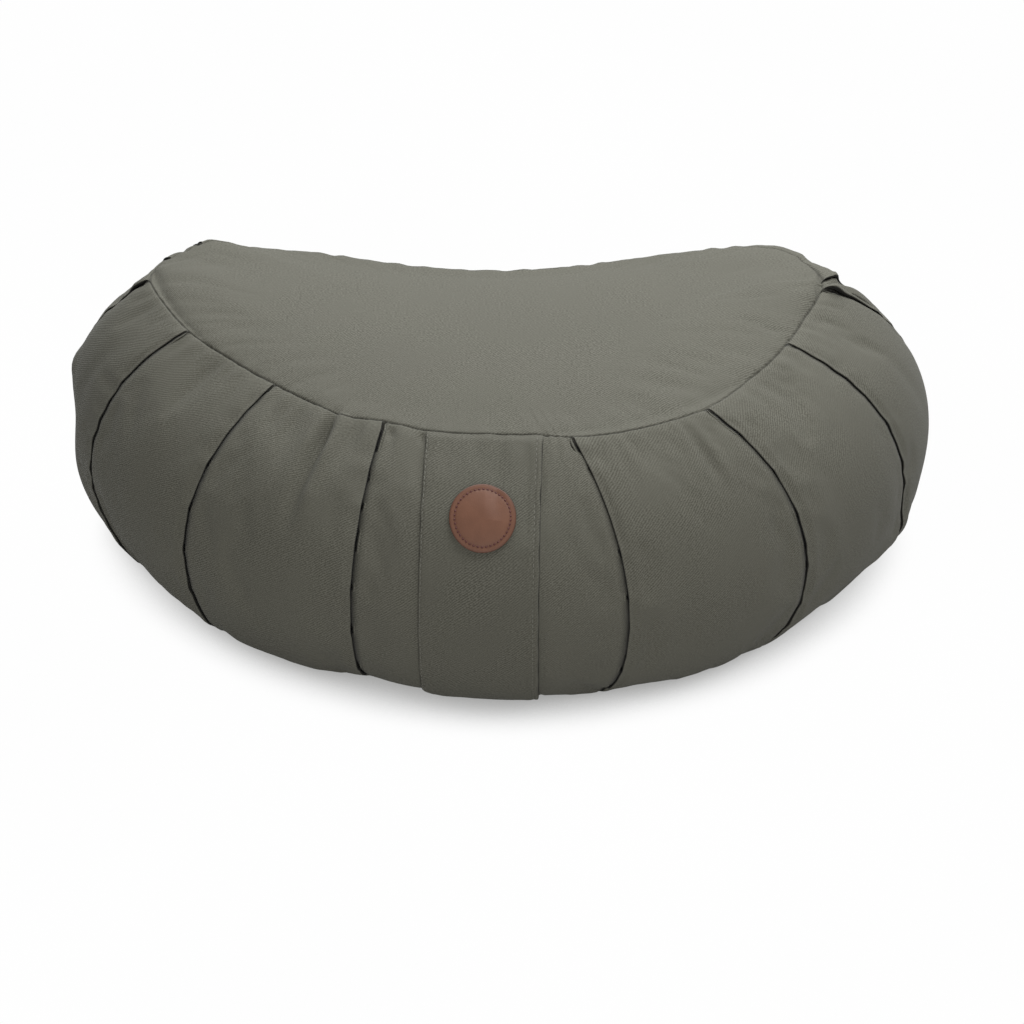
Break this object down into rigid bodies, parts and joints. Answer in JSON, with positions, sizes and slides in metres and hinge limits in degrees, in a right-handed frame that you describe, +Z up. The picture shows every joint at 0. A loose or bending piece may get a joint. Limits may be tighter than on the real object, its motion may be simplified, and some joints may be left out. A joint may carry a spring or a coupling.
{
  "type": "crescent meditation cushion",
  "caption": "Crescent floor cushion of filled cloth with knife-pleated bulging sides, a low crowned top, a sewn front band and a round leather badge.",
  "frame": {"origin": "on the surface the cushion rests on, under the middle of its box", "axes": "+Z up; -Y is the long bulging front with the band and badge, +Y the back with the shallow bay; +X to the right for someone facing the front, along the cushion's length"},
  "size_m": [0.4601, 0.2626, 0.1585],
  "materials": {
    "cover_cloth": "matte olive grey cotton twill",
    "band_cloth": "matte olive grey cotton twill, top-stitched",
    "badge_leather": "smooth brown leather"
  },
  "bodies": {
    "root": {"cushion": "cover_cloth", "front_band": "band_cloth", "badge": "badge_leather"}
  },
  "joints": []
}
